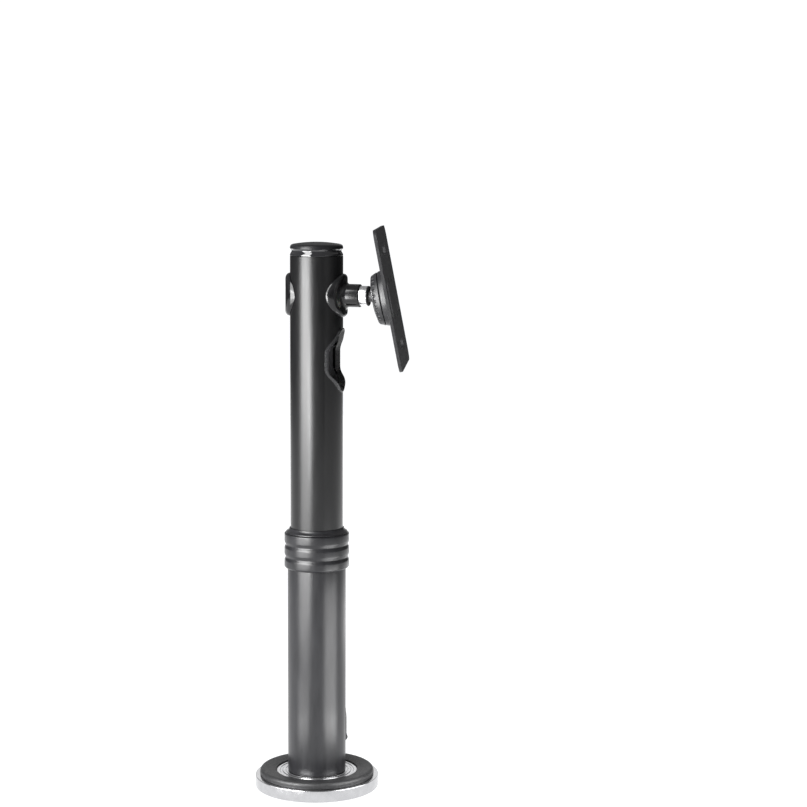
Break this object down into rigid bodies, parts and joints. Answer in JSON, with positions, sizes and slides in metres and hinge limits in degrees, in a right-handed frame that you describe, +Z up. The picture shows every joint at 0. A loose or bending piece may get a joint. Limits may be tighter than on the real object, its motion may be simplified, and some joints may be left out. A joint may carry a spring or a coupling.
{
  "type": "desk monitor mount",
  "caption": "Round desk base with a telescoping post, twist lock, short arm, tilting clamp head and display plate.",
  "frame": {"origin": "centre of the desk pad's underside, on the post's axis", "axes": "+Z up along the post, +X along the short arm towards the display plate"},
  "size_m": [0.1422, 0.1199, 0.4856],
  "materials": {
    "satin_aluminium": "satin silver, turned edge",
    "plain_aluminium": "plain machined",
    "textured_black": "fine textured black",
    "rubber": "matt black",
    "steel": "zinc plated",
    "lower_anodised": "charcoal satin anodised",
    "upper_anodised": "black semi-gloss anodised",
    "moulded_black": "satin moulded black",
    "nylon": "natural",
    "collar_black": "satin black",
    "gloss_black": "polished black",
    "arm_black": "satin black",
    "chrome": "polished",
    "head_black": "satin moulded black",
    "plate_black": "fine powder coat"
  },
  "bodies": {
    "base": {"base_plate": "satin_aluminium", "cover_ring": "textured_black", "desk_pad": "rubber", "tube_foot": "plain_aluminium", "foot_screw_1": "steel", "foot_screw_2": "steel", "foot_screw_3": "steel", "lower_tube": "lower_anodised", "lower_cable_port": "moulded_black", "clamp_collet": "nylon"},
    "collar": {"lock_collar": "collar_black", "wiper_ring": "gloss_black"},
    "glide": {"glide_bush": "nylon"},
    "post": {"upper_tube": "upper_anodised", "upper_cable_port": "moulded_black", "arm_boss": "arm_black", "blank_plug": "arm_black", "ball_stud": "chrome", "stud_seal": "rubber", "spacer_sleeve": "steel", "top_cap": "gloss_black"},
    "liner": {"ball_liner": "nylon"},
    "pad": {"pressure_pad": "nylon"},
    "head": {"head_drum": "head_black", "display_plate": "plate_black", "plate_screw_1": "steel", "plate_screw_2": "steel", "plate_screw_3": "steel", "plate_screw_4": "steel", "wave_washer": "steel"},
    "ring": {"tension_ring": "head_black"}
  },
  "joints": [
    {"name": "collar_twist", "type": "hinge", "parent": "base", "child": "collar", "pos_m": [0, 0, 0.2], "axis": [0, 0, 1], "range_deg": [0, 60]},
    {"name": "height_slide", "type": "slide", "parent": "base", "child": "glide", "axis": [0, 0, 1], "range_m": [-0.04, 0.045]},
    {"name": "post_swivel", "type": "hinge", "parent": "glide", "child": "post", "pos_m": [0, 0, 0.12], "axis": [0, 0, 1], "range_deg": [-180, 180]},
    {"name": "head_pan", "type": "hinge", "parent": "post", "child": "liner", "pos_m": [0.068, 0, 0.4279], "axis": [0, 0, 1], "range_deg": [-23.5, 0.5]},
    {"name": "head_tilt", "type": "hinge", "parent": "liner", "child": "pad", "pos_m": [0.068, 0, 0.4279], "axis": [0.1994, -0.9799, 0], "range_deg": [-26, 4]},
    {"name": "head_roll", "type": "hinge", "parent": "pad", "child": "head", "pos_m": [0.068, 0, 0.4279], "axis": [0.9619, 0.1957, 0.1908], "range_deg": [-90, 90]},
    {"name": "ring_twist", "type": "hinge", "parent": "head", "child": "ring", "pos_m": [0.068, 0, 0.4279], "axis": [0.9619, 0.1957, 0.1908], "range_deg": [0, 120]}
  ]
}
